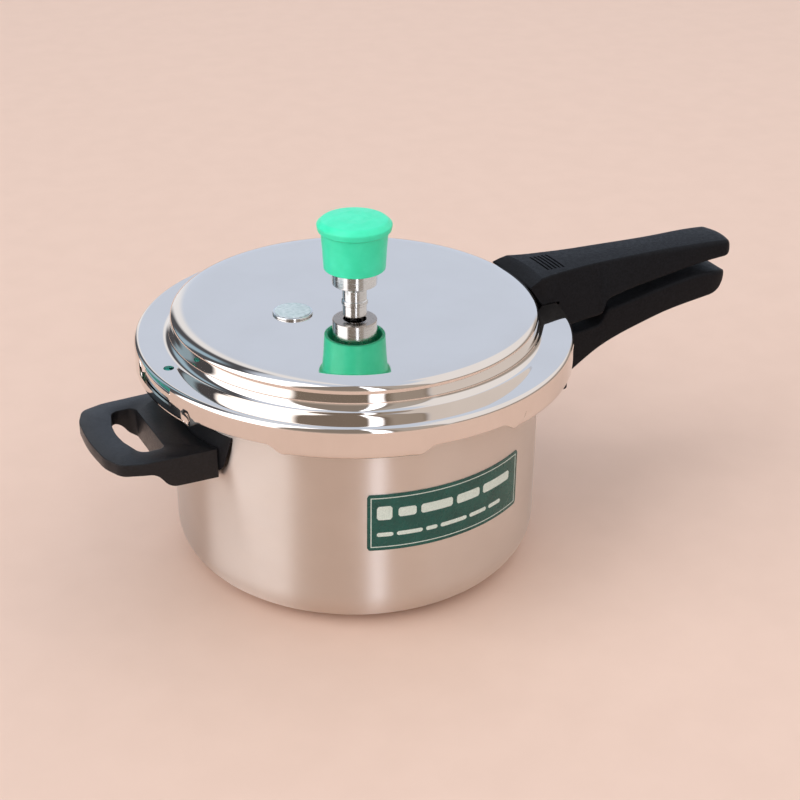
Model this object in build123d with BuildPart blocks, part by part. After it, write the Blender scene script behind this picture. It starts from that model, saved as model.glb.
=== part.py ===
from build123d import *
import os
from math import cos, radians, sin

# Stovetop pressure cooker of the outer-lid type, in millimetres.
# Origin: centre of the pot's base. +Z is up, the two long handles point along +X and the
# helper handle points along -X. The lid is shown locked, with its handle over the pot's.

# ---------------------------------------------------------------- driving dimensions
touch = 0.05            # gap between pieces that are fixed to each other

# Pot
pot_radius = 95.0
pot_wall = 2.0
pot_base = 3.2
pot_corner = 21.5
pot_height = 118.5
flange_radius = 110.3   # tips of the bayonet lugs
flange_root = 100.5     # bottom of the notches between them
flange_sheet = 1.6
flange_lip_z = 109.4    # lower edge of the turned-down lip

# Lid
lid_sheet = 1.2
lid_top = 136.9
lid_radius = 112.0
lid_rim_z = 123.1
skirt_z = 111.6
dome_radius = 93.5
dome_roll_width = 10.5
dome_roll_height = 4.2
dome_fillet = 4.5       # between the dome's wall and the flat ring round it
rim_round = 2.7

# Bayonet lock: lid lugs under the lugs of the pot's flange
lug_count = 6
lug_azimuth = 3.5       # middle of the first lug
lug_z = 106.9
lug_inner = 101.5
lug_half_angle = 14.5
pot_lug_half_angle = 9.0
lug_slope = 10.0        # run of the slope from a lug to the higher skirt beside it

# Gasket and what shows it
gasket_height = 2.8
gasket_inner = 97.6
window_azimuth = 183.1
window_half_angle = 9.8
window_low = 113.3
window_high = 122.2
pinhole_radius = 2.6
pinhole_at = (102.4, 182.9)     # radius, azimuth
dimple_azimuths = (198.9, 291.8)
dimple_radius = 6.0
dimple_depth = 0.9      # less than the sheet, so the inner face stays smooth

# Handles
handle_screw = 2.5
bracket_sheet = 2.5
tongue_width = 20.0     # of the brackets' tongues inside the handles

# Vent and weight, heights above the lid's flat top
vent_bore = 0.9
vent_stub = 4.0
weight_lift_gap = 0.1
weight_low = 9.8
cap_low = 18.3
cap_high = 45.2

washer_sheet = 1.8
vent_nut_height = 5.0

# Safety valve
valve_at = -34.3
valve_head = 10.1
valve_rise = 1.1
valve_stem = 5.0
valve_core = 1.6
valve_nut_height = 4.0


# ---------------------------------------------------------------- helpers
def polar(radius, azimuth):
    """Point on a circle round the pot's axis."""
    return (radius * cos(radians(azimuth)), radius * sin(radians(azimuth)))


def radial_plane(azimuth):
    """Upright half plane through the axis: local x runs outwards, local y runs up."""
    return Plane(
        origin=(0, 0, 0),
        x_dir=(*polar(1, azimuth), 0),
        z_dir=(sin(radians(azimuth)), -cos(radians(azimuth)), 0),
    )


def ring_piece(inner, outer, low, high, middle, half_angle):
    """Block bent round the pot's axis."""
    with BuildPart() as piece:
        with BuildSketch(radial_plane(middle - half_angle)):
            with Locations(((inner + outer) / 2, (low + high) / 2)):
                Rectangle(outer - inner, high - low)
        revolve(axis=Axis.Z, revolution_arc=2 * half_angle)
    return piece.part


def turned(*profile, at=(0, 0)):
    """Piece turned on an upright axis, from (radius, height) points starting on that axis."""
    with BuildPart() as piece:
        with BuildSketch(Plane.XZ):
            with BuildLine():
                Polyline(*profile, close=True)
            make_face()
        revolve(axis=Axis.Z)
    return Pos(*at, 0) * piece.part


def upright_cylinder(radius, low, high, at):
    """Round bar from one height to another."""
    with BuildPart() as piece:
        with BuildSketch(Plane.XY.offset(low)):
            with Locations(at):
                Circle(radius)
        extrude(amount=high - low)
    return piece.part


def lid_line(inset):
    """Half section of one face of the lid's sheet, from the axis to the skirt's edge."""
    roll_centre = (dome_radius - dome_roll_width, lid_top - dome_roll_height)
    Line((0, lid_top - inset), (roll_centre[0], lid_top - inset))
    EllipticalCenterArc(
        roll_centre, dome_roll_width - inset, dome_roll_height - inset, start_angle=0, arc_size=90
    )
    FilletPolyline(
        (dome_radius - inset, roll_centre[1]),
        (dome_radius - inset, lid_rim_z - inset),
        (lid_radius - inset, lid_rim_z - inset),
        (lid_radius - inset, skirt_z),
        radius=(dome_fillet + inset, rim_round - inset),
    )


def lid_envelope(clearance):
    """Everything the lid covers, a little larger: cut from what sits on the lid."""
    with BuildPart() as envelope:
        with BuildSketch(Plane.XZ):
            with BuildLine():
                lid_line(-clearance)
                Polyline((lid_radius + clearance, skirt_z), (lid_radius + clearance, 90), (0, 90),
                         (0, lid_top + clearance))
            make_face()
        revolve(axis=Axis.Z)
    return envelope.part


def leaning_bar(half, low, high, lean, end_lean):
    """Bar on a symmetric plan outline whose sides and far end lean in as they rise."""
    with BuildPart() as bar:
        for height, inset, pull in ((low, 0, 0), (high, lean, end_lean)):
            outline = mirrored_outline([(x - pull, y - inset) for x, y in half])
            with BuildSketch(Plane.XY.offset(height)):
                with BuildLine():
                    Polyline(*outline, close=True)
                make_face()
        loft(ruled=True)
    return bar.part


def screw(at, head_low, tip, head_radius=4.5, head_height=2.8):
    """Pan-head screw that points up, with a slot across its head."""
    body = turned(
        (0, head_low),
        (head_radius - 0.6, head_low),
        (head_radius, head_low + 0.6),
        (head_radius, head_low + head_height),
        (handle_screw, head_low + head_height),
        (handle_screw, tip - 0.8),
        (handle_screw - 0.8, tip),
        (0, tip),
        at=at,
    )
    slot = Box(2 * head_radius + 1, 1.2, 2.2, mode=Mode.PRIVATE)
    return body - Pos(at[0], at[1], head_low) * slot


def screw_hole(at, low, head_low, tip, head_radius=5.0, head_height=2.8):
    """Counterbored hole for one of those screws, open at its low end."""
    return turned(
        (0, low),
        (head_radius, low),
        (head_radius, head_low + head_height),
        (handle_screw + touch, head_low + head_height),
        (handle_screw + touch, tip + 0.5),
        (0, tip + 0.5),
        at=at,
    )


def mirrored_outline(half):
    """Closed outline from the points of its +Y half, listed from the inner end outwards."""
    return [*half, *[(x, -y) for x, y in reversed(half)]]


# ---------------------------------------------------------------- pot body
with BuildPart() as pot_body:
    with BuildSketch(Plane.XZ):
        with BuildLine():
            FilletPolyline(
                (0, 0),
                (pot_radius, 0),
                (pot_radius, pot_height - flange_sheet),
                (flange_radius - flange_sheet, pot_height - flange_sheet),
                (flange_radius - flange_sheet, flange_lip_z),
                radius=(pot_corner, 1.5, 0.5),
            )
            Line((flange_radius - flange_sheet, flange_lip_z), (flange_radius, flange_lip_z))
            FilletPolyline(
                (flange_radius, flange_lip_z),
                (flange_radius, pot_height),
                (pot_radius - pot_wall, pot_height),
                (pot_radius - pot_wall, pot_base),
                (0, pot_base),
                radius=(2.1, 1.5, pot_corner - pot_wall),
            )
            Line((0, pot_base), (0, 0))
        make_face()
    revolve(axis=Axis.Z)
    for lug in range(lug_count):
        gap_middle = lug_azimuth + (lug + 0.5) * 360 / lug_count
        gap_half_angle = 180 / lug_count - pot_lug_half_angle
        notch = ring_piece(flange_root, flange_radius + 1, flange_lip_z - 1, pot_height + 1,
                           gap_middle, gap_half_angle)
        add(notch, mode=Mode.SUBTRACT)

# ---------------------------------------------------------------- label on the pot
label_inner = pot_radius + touch
label_sheet = 0.3
label_low = 47.5
label_high = 78.5
label_azimuth = 275.1
label_half_angle = 27.3
with BuildPart() as pot_label:
    add(ring_piece(label_inner, label_inner + label_sheet, label_low, label_high, label_azimuth,
                   label_half_angle))

# ---------------------------------------------------------------- lid shell
lug_step = 360 / lug_count


def skirt_gap(azimuth):
    """Cutter for the higher skirt between two lugs, sloped at both ends."""
    low_half = lid_radius * sin(radians(lug_step / 2 - lug_half_angle - 1))
    high_half = low_half - lug_slope
    below = lug_z - 4
    outwards = Plane(origin=(0, 0, 0), x_dir=(-sin(radians(azimuth)), cos(radians(azimuth)), 0),
                     z_dir=(*polar(1, azimuth), 0))
    with BuildPart() as gap:
        with BuildSketch(outwards.offset(90)):
            with BuildLine():
                FilletPolyline(
                    (-low_half, below),
                    (-low_half, lug_z),
                    (-high_half, skirt_z),
                    (high_half, skirt_z),
                    (low_half, lug_z),
                    (low_half, below),
                    radius=(3, 6, 6, 3),
                )
                Line((low_half, below), (-low_half, below))
            make_face()
        extrude(amount=lid_radius + 2 - 90)
    return gap.part


def dimple(azimuth):
    """Ball that marks the skirt from outside."""
    centre = polar(lid_radius - dimple_depth + dimple_radius, azimuth)
    return Pos(*centre, skirt_z - 0.2) * Sphere(dimple_radius, mode=Mode.PRIVATE)


with BuildPart() as lid_shell:
    with BuildSketch(Plane.XZ):
        with BuildLine():
            lid_line(0)
            lid_line(lid_sheet)
            Line((0, lid_top), (0, lid_top - lid_sheet))
            Line((lid_radius, skirt_z), (lid_radius - lid_sheet, skirt_z))
        make_face()
    revolve(axis=Axis.Z)
    with BuildSketch(Plane.XZ):
        with BuildLine():
            FilletPolyline(
                (lid_radius, skirt_z),
                (lid_radius, lug_z),
                (lug_inner, lug_z),
                radius=(1.9,),
            )
            Line((lug_inner, lug_z), (lug_inner, lug_z + lid_sheet))
            FilletPolyline(
                (lug_inner, lug_z + lid_sheet),
                (lid_radius - lid_sheet, lug_z + lid_sheet),
                (lid_radius - lid_sheet, skirt_z),
                radius=(0.4,),
            )
            Line((lid_radius - lid_sheet, skirt_z), (lid_radius, skirt_z))
        make_face()
    revolve(axis=Axis.Z)
    for lug in range(lug_count):
        add(skirt_gap(lug_azimuth + (lug + 0.5) * lug_step), mode=Mode.SUBTRACT)
    for azimuth in dimple_azimuths:
        add(dimple(azimuth), mode=Mode.SUBTRACT)
    add(
        ring_piece(lid_radius - 3, lid_radius + 1, window_low, window_high, window_azimuth,
                   window_half_angle),
        mode=Mode.SUBTRACT,
    )
    add(
        upright_cylinder(pinhole_radius, lid_rim_z - 5, lid_rim_z + 5, polar(*pinhole_at)),
        mode=Mode.SUBTRACT,
    )
    add(upright_cylinder(vent_stub + touch, lid_top - 5, lid_top + 1, (0, 0)), mode=Mode.SUBTRACT)
    add(upright_cylinder(valve_stem + touch, lid_top - 5, lid_top + 1, (valve_at, 0)),
        mode=Mode.SUBTRACT)

# ---------------------------------------------------------------- gasket
gasket_top = lid_rim_z - lid_sheet - touch
gasket_low = gasket_top - gasket_height
gasket_outer = lid_radius - lid_sheet - 0.4
with BuildPart() as gasket:
    with BuildSketch(Plane.XZ):
        with BuildLine():
            Polyline(
                (gasket_outer, gasket_low),
                (gasket_outer, gasket_top - 0.8),
                (gasket_outer - 0.8, gasket_top),
                (gasket_inner + 4, gasket_top),
                (gasket_inner + 3, gasket_top - 1.2),
                (gasket_inner, gasket_top - 1.2),
                (gasket_inner, gasket_low),
                close=True,
            )
        make_face()
    revolve(axis=Axis.Z)

# ---------------------------------------------------------------- vent pipe and its fittings
top = lid_top
under = lid_top - lid_sheet
nozzle_tip = top + 21.0
with BuildPart() as vent_pipe:
    add(
        turned(
            (vent_bore, under - 12),
            (vent_stub, under - 12),
            (vent_stub, top + touch),
            (6.8, top + touch),
            (6.8, top + 1.1),
            (6.25, top + 1.5),
            (6.25, top + 7.0),
            (5.6, top + 7.6),
            (2.7, top + 8.4),
            (2.2, nozzle_tip - 1.0),
            (1.6, nozzle_tip),
            (vent_bore, nozzle_tip),
        )
    )

with BuildPart() as vent_washer:
    with BuildSketch(Plane.XY.offset(under - touch - washer_sheet)):
        Circle(9.0)
        Circle(vent_stub + touch, mode=Mode.SUBTRACT)
    extrude(amount=washer_sheet)
    fillet(vent_washer.edges().filter_by(GeomType.CIRCLE).group_by(SortBy.RADIUS)[-1], 0.4)

with BuildPart() as vent_nut:
    with BuildSketch(Plane.XY.offset(under - 2 * touch - washer_sheet - vent_nut_height)):
        RegularPolygon(7.0, 6)
        Circle(vent_stub + touch, mode=Mode.SUBTRACT)
    extrude(amount=vent_nut_height)

# ---------------------------------------------------------------- weight
weight_base = top + weight_low
weight_top = top + cap_high - 6.0
bore_roof = nozzle_tip + weight_lift_gap + 5.0
with BuildPart() as weight_body:
    add(
        turned(
            (6.0, weight_base),
            (11.0, weight_base),
            (11.5, weight_base + 0.5),
            (11.5, weight_top - 0.7),
            (10.8, weight_top),
            (0, weight_top),
            (0, bore_roof),
            (6.0, bore_roof),
        )
    )

with BuildPart() as weight_needle:
    add(
        turned(
            (0, nozzle_tip - 1.0),
            (vent_bore - weight_lift_gap, nozzle_tip + weight_lift_gap),
            (3.0, nozzle_tip + weight_lift_gap + 1.6),
            (5.9, nozzle_tip + weight_lift_gap + 2.2),
            (5.9, bore_roof - touch),
            (0, bore_roof - touch),
        )
    )

with BuildPart() as weight_cap:
    with BuildSketch(Plane.XZ):
        with BuildLine():
            Polyline(
                (0, top + cap_high),
                (15.4, top + cap_high - 0.3),
                (16.8, top + cap_high - 1.0),
                (19.1, top + 41.6),
                (18.5, top + 38.9),
                (17.2, top + 38.3),
                (15.7, top + cap_low),
                (13.9, top + cap_low),
                (15.2, weight_top - 8.0),
                (11.55, weight_top - 8.0),
                (11.55, weight_top + touch),
                (0, weight_top + touch),
                close=True,
            )
        make_face()
    revolve(axis=Axis.Z)

# ---------------------------------------------------------------- safety valve
with BuildPart() as safety_valve:
    add(
        turned(
            (valve_core, under - 9),
            (valve_stem, under - 9),
            (valve_stem, top + touch),
            (valve_head, top + touch),
            (valve_head, top + valve_rise - 0.4),
            (valve_head - 0.5, top + valve_rise),
            (valve_core, top + valve_rise),
            at=(valve_at, 0),
        )
    )

with BuildPart() as safety_valve_core:
    add(upright_cylinder(valve_core - touch, under - 9, top + valve_rise, (valve_at, 0)))

with BuildPart() as safety_valve_dial:
    with BuildSketch(Plane.XY.offset(top + valve_rise + touch)):
        with Locations((valve_at, 0)):
            Circle(valve_head - 1.0)
    extrude(amount=0.3)

with BuildPart() as safety_valve_washer:
    with BuildSketch(Plane.XY.offset(under - touch - washer_sheet)):
        with Locations((valve_at, 0)):
            Circle(9.5)
            Circle(valve_stem + touch, mode=Mode.SUBTRACT)
    extrude(amount=washer_sheet)

with BuildPart() as safety_valve_nut:
    with BuildSketch(Plane.XY.offset(under - 2 * touch - washer_sheet - valve_nut_height)):
        with Locations((valve_at, 0)):
            RegularPolygon(8.0, 6)
            Circle(valve_stem + touch, mode=Mode.SUBTRACT)
    extrude(amount=valve_nut_height)

# ---------------------------------------------------------------- lid handle
lid_handle_inner = 101.4        # its end stands on the lid along this radius
lid_handle_beak = 94.6          # and juts towards the dome higher up
lid_bracket_low = 115.0
lid_bracket_in = lid_radius + touch
lid_bracket_out = 139.0
lid_bracket_plate = 1.8
lid_bracket_top = 120.0
lid_screws = ((122.5, 0), (133.5, 0))
lid_screw_head = 110.6
lid_screw_tip = 127.0
grooves = (109.4, 111.8, 114.2, 116.6, 119.0)    # across the top, near the lid
groove_width = 1.2
groove_length = 19.0
groove_floor = 136.6

with BuildPart() as lid_handle_bracket:
    add(ring_piece(lid_bracket_in, lid_bracket_in + lid_bracket_plate, 108.0, lid_bracket_top, 0, 8.0))
    with BuildSketch(Plane.XY.offset(lid_bracket_low)):
        with Locations(((lid_bracket_in + lid_bracket_out) / 2 + 0.5, 0)):
            Rectangle(lid_bracket_out - lid_bracket_in - 1, tongue_width)
    extrude(amount=bracket_sheet)
    add(lid_envelope(touch), mode=Mode.SUBTRACT)
    with Locations(*[(x, y, lid_bracket_low) for x, y in lid_screws]):
        Cylinder(handle_screw + touch, 20, mode=Mode.SUBTRACT)

with BuildPart() as lid_handle:
    add(
        leaning_bar(
            [(88, 28.0), (101, 25.8), (112, 23.9), (125, 22.8), (145, 21.2), (165, 20.3),
             (185, 19.8), (205, 20.2), (225, 20.0), (231.7, 17.0), (234.2, 11.5)],
            100, 140, 8.5, 6,
        )
    )
    with BuildSketch(Plane.XZ):
        with BuildLine():
            Polyline((88.0, 137.5), (88.0, 98.0), (112.6, 107.4))
            Polyline((112.6, 107.4), (137.5, 109.4), (139.5, 110.6), (142.2, 116.6))
            ThreePointArc((142.2, 116.6), (172, 121.3), (206, 124.8))
            Polyline((206, 124.8), (237, 126.6), (237, 134.6))
            ThreePointArc((237, 134.6), (165, 137.1), (88.0, 137.5))
        make_face()
    extrude(amount=40, both=True, mode=Mode.INTERSECT)
    add(lid_envelope(touch), mode=Mode.SUBTRACT)
    add(
        turned(
            (0, 90),
            (lid_handle_inner, 90),
            (lid_handle_inner, 123.0),
            (lid_handle_beak, 133.4),
            (lid_handle_beak, 134.4),
            (lid_handle_inner, 137.2),
            (lid_handle_inner, 145),
            (0, 145),
        ),
        mode=Mode.SUBTRACT,
    )
    with Locations(*[(x, 0, groove_floor + 5) for x in grooves]):
        Box(groove_width, groove_length, 10, mode=Mode.SUBTRACT)
    add(
        ring_piece(lid_radius, lid_bracket_in + lid_bracket_plate + 3 * touch, 100,
                   lid_bracket_top + 2 * touch, 0, 8.2),
        mode=Mode.SUBTRACT,
    )
    with BuildSketch(Plane.XY.offset(lid_bracket_low - touch)):
        with Locations(((lid_bracket_in + lid_bracket_out) / 2 + 0.1, 0)):
            Rectangle(lid_bracket_out - lid_bracket_in + 0.3, tongue_width + 4 * touch)
    extrude(amount=bracket_sheet + 2 * touch, mode=Mode.SUBTRACT)
    for at in lid_screws:
        add(screw_hole(at, 98, lid_screw_head, lid_screw_tip), mode=Mode.SUBTRACT)

with BuildPart() as lid_handle_screws:
    for at in lid_screws:
        add(screw(at, lid_screw_head, lid_screw_tip))

# ---------------------------------------------------------------- pot handle
pot_bracket_low = 92.0
pot_bracket_out = 136.0
pot_screws = ((112.0, 0), (126.0, 0))
pot_screw_heads = (77.5, 84.5)
pot_screw_tip = 98.0

with BuildPart() as pot_handle_bracket:
    add(ring_piece(pot_radius + touch, pot_radius + 2.0, 68.0, 99.0, 0, 10.5))
    with BuildSketch(Plane.XY.offset(pot_bracket_low)):
        with Locations(((pot_radius + 1 + pot_bracket_out) / 2, 0)):
            Rectangle(pot_bracket_out - pot_radius - 1, tongue_width)
    extrude(amount=bracket_sheet)
    with Locations(*[(x, y, pot_bracket_low) for x, y in pot_screws]):
        Cylinder(handle_screw + touch, 20, mode=Mode.SUBTRACT)

with BuildPart() as pot_handle:
    with BuildSketch(Plane.XZ):
        with BuildLine():
            Polyline((90, 98.0), (124, 101.4), (138.5, 102.4), (141.0, 104.0), (144.6, 109.6))
            ThreePointArc((144.6, 109.6), (178, 116.0), (206, 119.3))
            Polyline((206, 119.3), (223.9, 118.2), (224.9, 116.6), (220.9, 107.0), (216.8, 104.6),
                     (210.0, 104.6))
            ThreePointArc((210.0, 104.6), (150, 91.6), (90, 62.0))
            Line((90, 62.0), (90, 98.0))
        make_face()
    extrude(amount=40, both=True)
    add(
        leaning_bar(
            [(88, 23.0), (112, 20.0), (145, 17.0), (200, 16.2), (221.3, 15.0), (226.3, 8.0)],
            55, 125, 0.5, 0,
        ),
        mode=Mode.INTERSECT,
    )
    add(ring_piece(60, pot_radius + 2.1, 50, 130, 0, 40), mode=Mode.SUBTRACT)
    with BuildSketch(Plane.XY.offset(pot_bracket_low - touch)):
        with Locations(((pot_radius + pot_bracket_out) / 2, 0)):
            Rectangle(pot_bracket_out - pot_radius + 0.4, tongue_width + 4 * touch)
    extrude(amount=bracket_sheet + 2 * touch, mode=Mode.SUBTRACT)
    for at, head in zip(pot_screws, pot_screw_heads):
        add(screw_hole(at, 60, head, pot_screw_tip), mode=Mode.SUBTRACT)

with BuildPart() as pot_handle_screws:
    for at, head in zip(pot_screws, pot_screw_heads):
        add(screw(at, head, pot_screw_tip))

# ---------------------------------------------------------------- helper handle
helper_top = 90.6
helper_out = -144.0
collar_radius = pot_radius + 1.4
collar_low = 73.8
collar_high = 98.5
helper_tongue_low = 82.0
helper_tongue_out = 109.5
helper_screw = (-104.0, 0)
helper_screw_head = 76.4
helper_screw_tip = 88.0

with BuildPart() as helper_bracket:
    add(ring_piece(pot_radius + touch, pot_radius + 1.2, 76.0, 90.0, 180, 10.0))
    with BuildSketch(Plane.XY.offset(helper_tongue_low)):
        with Locations((-(pot_radius + 1 + helper_tongue_out) / 2, 0)):
            Rectangle(helper_tongue_out - pot_radius - 1, tongue_width)
    extrude(amount=bracket_sheet)
    with Locations((*helper_screw, helper_tongue_low)):
        Cylinder(handle_screw + touch, 10, mode=Mode.SUBTRACT)

with BuildPart() as helper_collar:
    add(ring_piece(pot_radius + touch, collar_radius, collar_low, collar_high, 180, 27.5))
    with BuildSketch(Plane.YZ):
        with BuildLine():
            Polyline((-31, collar_low), (-38.5, 82.0), (-42.5, collar_high), (42.5, collar_high),
                     (38.5, 82.0), (31, collar_low), close=True)
        make_face()
    extrude(amount=-110, mode=Mode.INTERSECT)
    add(ring_piece(90, 100, 75.9, 90.1, 180, 10.2), mode=Mode.SUBTRACT)
    with BuildSketch(Plane.XY.offset(helper_tongue_low - touch)):
        with Locations((-(pot_radius + 10), 0)):
            Rectangle(20, tongue_width + 4 * touch)
    extrude(amount=bracket_sheet + 2 * touch, mode=Mode.SUBTRACT)

with BuildPart() as helper_handle:
    with BuildSketch(Plane.XY.offset(60)):
        with BuildLine():
            Polyline((-90, 35.5), (-126, 34.2), (-135.3, 32.0), (-140.8, 26.5))
            ThreePointArc((-140.8, 26.5), (helper_out, 0), (-140.8, -26.5))
            Polyline((-140.8, -26.5), (-135.3, -32.0), (-126, -34.2), (-90, -35.5))
            Line((-90, -35.5), (-90, 35.5))
        make_face()
        with BuildLine():
            Polyline((-124.4, 21.5), (-121.0, 23.0), (-114.4, 23.0), (-112.3, 20.0),
                     (-112.3, -20.0), (-114.4, -23.0), (-121.0, -23.0), (-124.4, -21.5))
            ThreePointArc((-124.4, -21.5), (-129.6, 0), (-124.4, 21.5))
        make_face(mode=Mode.SUBTRACT)
    extrude(amount=45)
    with BuildSketch(Plane.XZ):
        with BuildLine():
            Polyline((-90, helper_top), (-150, helper_top), (-150, 84.4), (-123.0, 83.6),
                     (-119.0, 81.6), (-116.3, 77.0), (-113.0, 75.1), (-90, 74.8), close=True)
        make_face()
    extrude(amount=60, both=True, mode=Mode.INTERSECT)
    add(ring_piece(60, collar_radius + touch, 50, 130, 180, 60), mode=Mode.SUBTRACT)
    with BuildSketch(Plane.XY.offset(helper_tongue_low - touch)):
        with Locations((-(pot_radius + helper_tongue_out + 0.5) / 2, 0)):
            Rectangle(helper_tongue_out + 0.5 - pot_radius, tongue_width + 4 * touch)
    extrude(amount=bracket_sheet + 2 * touch, mode=Mode.SUBTRACT)
    add(screw_hole(helper_screw, 60, helper_screw_head, helper_screw_tip), mode=Mode.SUBTRACT)

with BuildPart() as helper_handle_screw:
    add(screw(helper_screw, helper_screw_head, helper_screw_tip))

# ---------------------------------------------------------------- write the pieces
pieces = {
    "pot_body": pot_body,
    "pot_label": pot_label,
    "pot_handle": pot_handle,
    "pot_handle_bracket": pot_handle_bracket,
    "pot_handle_screws": pot_handle_screws,
    "helper_handle": helper_handle,
    "helper_collar": helper_collar,
    "helper_bracket": helper_bracket,
    "helper_handle_screw": helper_handle_screw,
    "lid_shell": lid_shell,
    "gasket": gasket,
    "lid_handle": lid_handle,
    "lid_handle_bracket": lid_handle_bracket,
    "lid_handle_screws": lid_handle_screws,
    "vent_pipe": vent_pipe,
    "vent_washer": vent_washer,
    "vent_nut": vent_nut,
    "safety_valve": safety_valve,
    "safety_valve_core": safety_valve_core,
    "safety_valve_dial": safety_valve_dial,
    "safety_valve_washer": safety_valve_washer,
    "safety_valve_nut": safety_valve_nut,
    "weight_body": weight_body,
    "weight_needle": weight_needle,
    "weight_cap": weight_cap,
}

os.makedirs("parts", exist_ok=True)
for name, piece in pieces.items():
    piece.part.label = name
    export_step(piece.part, f"parts/{name}.step")
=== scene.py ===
from math import asin, atan2, ceil, cos, hypot, pi, radians, sin, sqrt, tan

import bmesh
import bpy
from mathutils import Matrix, Vector


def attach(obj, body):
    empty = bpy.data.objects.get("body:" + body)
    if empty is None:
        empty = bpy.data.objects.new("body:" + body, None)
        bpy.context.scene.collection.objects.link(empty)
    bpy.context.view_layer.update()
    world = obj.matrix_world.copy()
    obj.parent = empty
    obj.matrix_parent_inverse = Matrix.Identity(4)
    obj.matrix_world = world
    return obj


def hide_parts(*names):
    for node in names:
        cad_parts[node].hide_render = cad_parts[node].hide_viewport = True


# Stovetop pressure cooker. Lengths below are in millimetres unless a name says metres; meshes
# are scaled to metres when they are made. Origin and axes are those of the CAD frame.
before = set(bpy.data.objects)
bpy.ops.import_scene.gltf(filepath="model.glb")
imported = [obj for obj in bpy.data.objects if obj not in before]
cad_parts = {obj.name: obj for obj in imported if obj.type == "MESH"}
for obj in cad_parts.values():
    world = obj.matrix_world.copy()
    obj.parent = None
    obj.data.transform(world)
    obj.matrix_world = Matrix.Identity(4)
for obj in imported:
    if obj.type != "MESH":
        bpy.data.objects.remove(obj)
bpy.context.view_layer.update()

MM = 0.001

# ---------------------------------------------------------------- dimensions shared with the CAD
pot_radius = 95.0
pot_wall = 2.0
pot_base = 3.2
pot_corner = 21.5
pot_height = 118.5
flange_radius = 110.3
flange_root = 100.5
flange_sheet = 1.6
flange_lip_z = 109.4

lid_sheet = 1.2
lid_top = 136.9
lid_radius = 112.0
lid_rim_z = 123.1
skirt_z = 111.6
dome_radius = 93.5
roll_width = 10.5
roll_height = 4.2
dome_fillet = 4.5
rim_round = 2.7
skirt_top = skirt_z + 3.4    # the skirt is plain above this height

window_azimuth = 183.1
window_half_angle = 9.8
window_low = 113.3
window_high = 122.2
pinhole_radius = 2.6
pinhole_at = (102.4, 182.9)    # radius, azimuth

lug_count = 6
lug_azimuth = 3.5
lug_step = 360 / lug_count
lug_z = 106.9
lug_inner = 101.5
pot_lug_half_angle = 9.0

gasket_outer = 110.3
gasket_inner = 97.6
gasket_height = 2.8

vent_hole = 4.05
vent_bore = 0.9
vent_foot = 6.8
vent_neck = 6.25
nozzle_tip = lid_top + 21.0

valve_at = (-34.3, 0.0)
valve_hole = 5.05
valve_stem = 5.0
valve_bore = 1.6
valve_head = 10.1
dial_radius = 9.1

weight_base = lid_top + 9.8
weight_top = lid_top + 39.2
barrel_radius = 11.5
barrel_bore = 6.0

screw_pocket_radius = 5.0
lid_screws = (122.5, 133.5)
lid_pocket_top = 113.4
pot_screws = ((112.0, 80.3), (126.0, 87.3))    # distance from the axis, top of the pocket
helper_screw = (-104.0, 79.2)
grooves = (109.4, 111.8, 114.2, 116.6, 119.0)    # across the lid handle's top
groove_width = 1.2
groove_length = 19.0
groove_floor = 136.6

# edges sharper than these angles, in degrees, stay sharp
plain_crease = 32
moulded_crease = 38
label_crease = 50


# ---------------------------------------------------------------- lines and curves
def ease(value, low, high):
    """0 below low, 1 above high, smooth in between."""
    part = min(max((value - low) / (high - low), 0.0), 1.0)
    return part * part * (3 - 2 * part)


def rounded(corners, closed=False, steps=6):
    """Points of a line through (x, y, radius) corners, with an arc at each corner that has a radius."""
    line = []
    count = len(corners)
    for index, (x, y, radius) in enumerate(corners):
        here = Vector((x, y))
        if radius == 0 or (not closed and index in (0, count - 1)):
            line.append(here)
            continue
        back = Vector(corners[index - 1][:2]) - here
        ahead = Vector(corners[(index + 1) % count][:2]) - here
        half_angle = back.angle(ahead) / 2
        radius = min(radius, 0.49 * min(back.length, ahead.length) * tan(half_angle))
        centre = here + (back.normalized() + ahead.normalized()).normalized() * radius / sin(half_angle)
        spokes = [here + way.normalized() * radius / tan(half_angle) - centre for way in (back, ahead)]
        start, stop = [atan2(spoke.y, spoke.x) for spoke in spokes]
        sweep = (stop - start + pi) % (2 * pi) - pi
        for step in range(steps + 1):
            angle = start + sweep * step / steps
            line.append(centre + Vector((cos(angle), sin(angle))) * radius)
    return line


def through(*stations):
    """Smooth function of one variable through (position, value) stations."""
    places = [station[0] for station in stations]
    values = [station[1] for station in stations]
    slopes = []
    for index in range(len(places)):
        first = max(index - 1, 0)
        last = min(index + 1, len(places) - 1)
        slopes.append((values[last] - values[first]) / (places[last] - places[first]))

    def value_at(place):
        if place <= places[0]:
            return values[0] + slopes[0] * (place - places[0])
        if place >= places[-1]:
            return values[-1] + slopes[-1] * (place - places[-1])
        index = max(i for i in range(len(places) - 1) if places[i] <= place)
        run = places[index + 1] - places[index]
        part = (place - places[index]) / run
        return (
            values[index] * (1 + 2 * part) * (1 - part) ** 2
            + slopes[index] * run * part * (1 - part) ** 2
            + values[index + 1] * part * part * (3 - 2 * part)
            - slopes[index + 1] * run * part * part * (1 - part)
        )

    return value_at


def split(line, longest):
    """The same line with its long stretches divided."""
    dense = [line[0]]
    for start, stop in zip(line, line[1:]):
        pieces = max(1, ceil((stop - start).length / longest))
        for piece in range(1, pieces + 1):
            dense.append(start.lerp(stop, piece / pieces))
    return dense


def spaced(start, stop, step):
    """Evenly spaced numbers that include both ends."""
    count = max(1, round((stop - start) / step))
    return [start + (stop - start) * index / count for index in range(count + 1)]


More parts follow.
